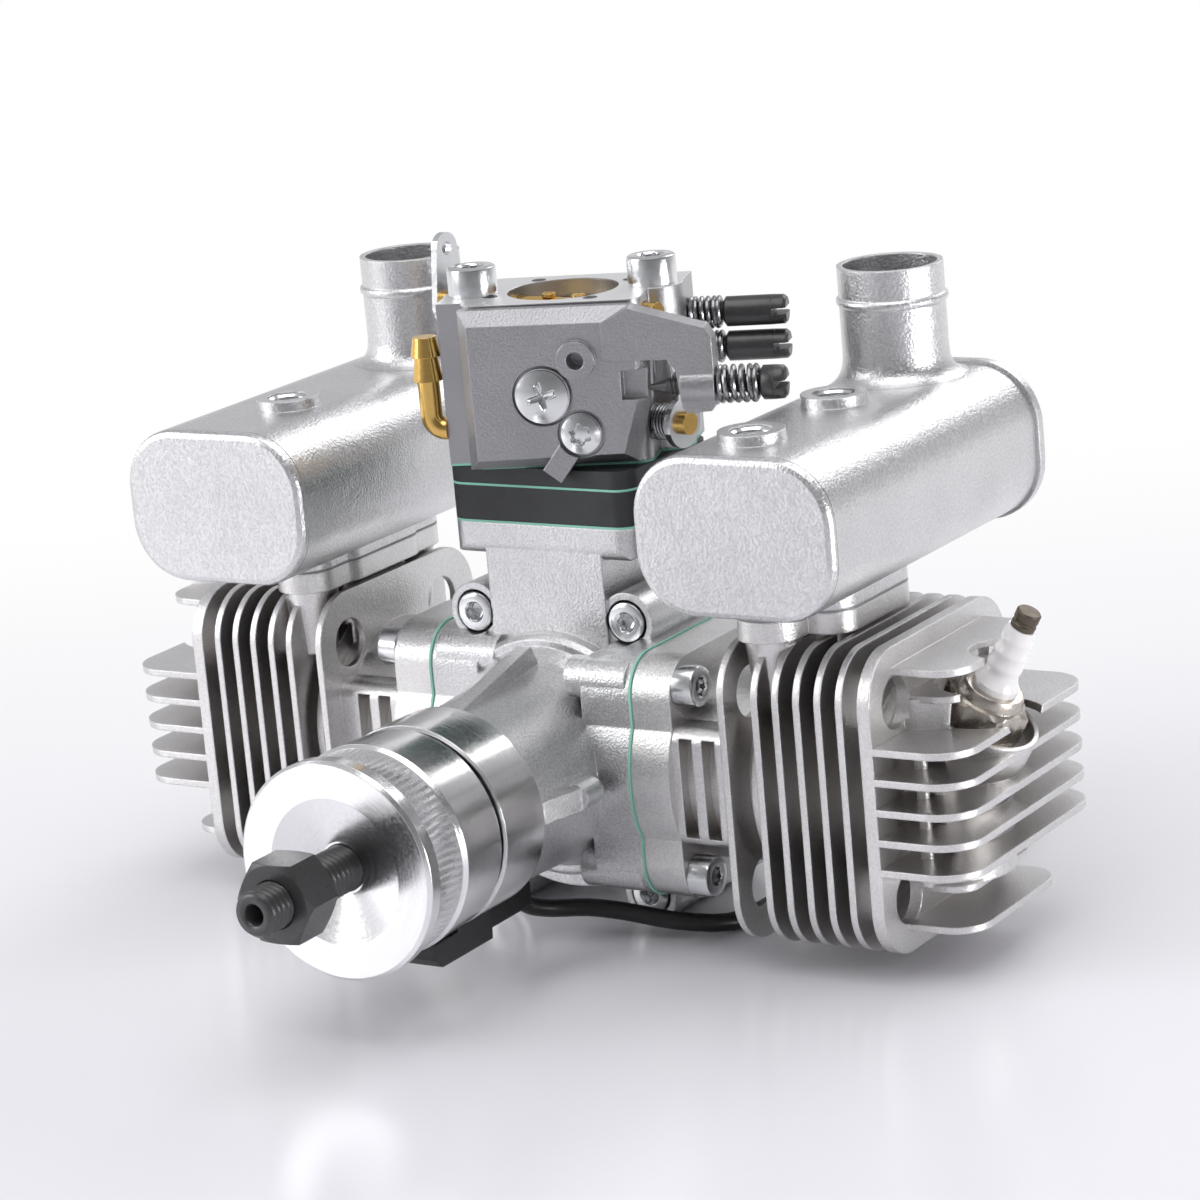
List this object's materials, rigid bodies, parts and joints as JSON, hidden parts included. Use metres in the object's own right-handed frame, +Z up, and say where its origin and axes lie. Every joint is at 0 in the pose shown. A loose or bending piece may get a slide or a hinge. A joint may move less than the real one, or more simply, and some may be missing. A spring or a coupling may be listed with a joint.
{
  "type": "boxer two-stroke aero engine",
  "caption": "Air-cooled boxer two-stroke aero engine with finned cylinders, can mufflers, a carburettor on top and a propeller hub; crank, pistons, throttle and choke move.",
  "frame": {"origin": "centre of the rear mounting face's bolt square, on the crank axis", "axes": "+Y along the crank axis to the firewall, -Y towards the propeller, +X along the right cylinder seen from the front, +Z up towards the carburettor"},
  "size_m": [0.1824, 0.1816, 0.1171],
  "materials": {
    "cast_aluminium": "bead-blasted casting, matt",
    "machined_aluminium": "turned and milled, satin",
    "muffler_aluminium": "brushed sheet and tube, satin",
    "steel": "ground and plated screws and shafts",
    "black_steel": "black oxide",
    "carb_metal": "grey die casting",
    "brass": "plain turned",
    "black_plastic": "moulded",
    "dark_plastic": "moulded insulating block",
    "ceramic": "glazed",
    "gasket": "pressed fibre sheet",
    "rubber": "soft black",
    "gasket_sheet": "pressed graphite sheet",
    "terminal_steel": "oxidised"
  },
  "bodies": {
    "root": {"crankcase_front": "cast_aluminium", "crankcase_rear": "cast_aluminium", "case_screws": "steel", "main_bearings": "steel", "shaft_seal": "rubber", "sensor_ring": "machined_aluminium", "sensor_block": "dark_plastic", "sensor_cable": "rubber", "cable_coil": "rubber", "cable_plug": "black_plastic", "cylinder_right": "cast_aluminium", "cylinder_left": "cast_aluminium", "base_gaskets": "gasket", "base_bolts": "steel", "muffler_right": "muffler_aluminium", "muffler_left": "muffler_aluminium", "muffler_end_caps": "muffler_aluminium", "exhaust_gaskets": "gasket_sheet", "muffler_bolts": "steel", "plug_shells": "steel", "plug_insulators": "ceramic", "plug_terminals": "terminal_steel", "intake_gaskets": "gasket", "lower_spacer": "dark_plastic", "upper_spacer": "dark_plastic", "reed_cage": "machined_aluminium", "reed_petals": "steel", "carb_body": "carb_metal", "carb_front_cover": "carb_metal", "carb_rear_cover": "carb_metal", "cover_screws": "steel", "carb_mount_screws": "steel", "fuel_elbow": "brass", "carb_springs": "steel"},
    "crank": {"crankshaft_front": "steel", "crank_center_web": "steel", "crankshaft_rear": "steel", "prop_hub": "machined_aluminium", "prop_washer": "machined_aluminium", "prop_stud": "black_steel", "prop_nut": "black_steel", "trigger_magnet": "steel"},
    "piston_right": {"piston_right": "machined_aluminium", "piston_rings_right": "steel", "wrist_pin_right": "steel"},
    "piston_left": {"piston_left": "machined_aluminium", "piston_rings_left": "steel", "wrist_pin_left": "steel"},
    "rod_right": {"rod_right": "steel"},
    "rod_left": {"rod_left": "steel"},
    "throttle": {"throttle_shaft": "brass", "throttle_plate": "brass", "throttle_lever": "steel"},
    "choke": {"choke_shaft": "brass", "choke_plate": "brass", "choke_lever": "steel"},
    "idle_screw": {"idle_screw": "black_steel"},
    "high_needle": {"high_needle": "black_steel"},
    "low_needle": {"low_needle": "black_steel"}
  },
  "joints": [
    {"name": "crank_spin", "type": "hinge", "parent": "root", "child": "crank", "pos_m": [0, -0.09, 0], "axis": [0, 1, 0], "continuous": true},
    {"name": "piston_right_slide", "type": "slide", "parent": "root", "child": "piston_right", "axis": [-1, 0, 0], "range_m": [0, 0.0244]},
    {"name": "piston_left_slide", "type": "slide", "parent": "root", "child": "piston_left", "axis": [1, 0, 0], "range_m": [0, 0.0244]},
    {"name": "rod_right_swing", "type": "hinge", "parent": "piston_right", "child": "rod_right", "pos_m": [0.0542, -0.0344, 0], "axis": [0, 1, 0], "range_deg": [-16.9, 16.9]},
    {"name": "rod_left_swing", "type": "hinge", "parent": "piston_left", "child": "rod_left", "pos_m": [-0.0542, -0.0256, 0], "axis": [0, 1, 0], "range_deg": [-16.9, 16.9]},
    {"name": "throttle_turn", "type": "hinge", "parent": "root", "child": "throttle", "pos_m": [0, -0.0268, 0.0565], "axis": [-0.9945, 0.1045, 0], "range_deg": [0, 75], "stiffness_Nm_per_rad": 0.01, "springref_deg": -22.92},
    {"name": "choke_turn", "type": "hinge", "parent": "root", "child": "choke", "pos_m": [0, -0.0268, 0.075], "axis": [-0.9945, 0.1045, 0], "range_deg": [0, 75]},
    {"name": "idle_screw_turn", "type": "hinge", "parent": "root", "child": "idle_screw", "pos_m": [0.03916, -0.02915, 0.064], "axis": [0.9397, 0.342, 0], "range_deg": [-360, 360]},
    {"name": "high_needle_turn", "type": "hinge", "parent": "root", "child": "high_needle", "pos_m": [0.02262, -0.01176, 0.072], "axis": [0.9397, 0.342, 0], "range_deg": [-360, 360]},
    {"name": "low_needle_turn", "type": "hinge", "parent": "root", "child": "low_needle", "pos_m": [0.02262, -0.01176, 0.066], "axis": [0.9397, 0.342, 0], "range_deg": [-360, 360]}
  ],
  "couplings": [
    {"joint": "piston_left_slide", "follows": "piston_right_slide", "ratio": 1},
    {"joint": "rod_left_swing", "follows": "rod_right_swing", "ratio": 1}
  ]
}
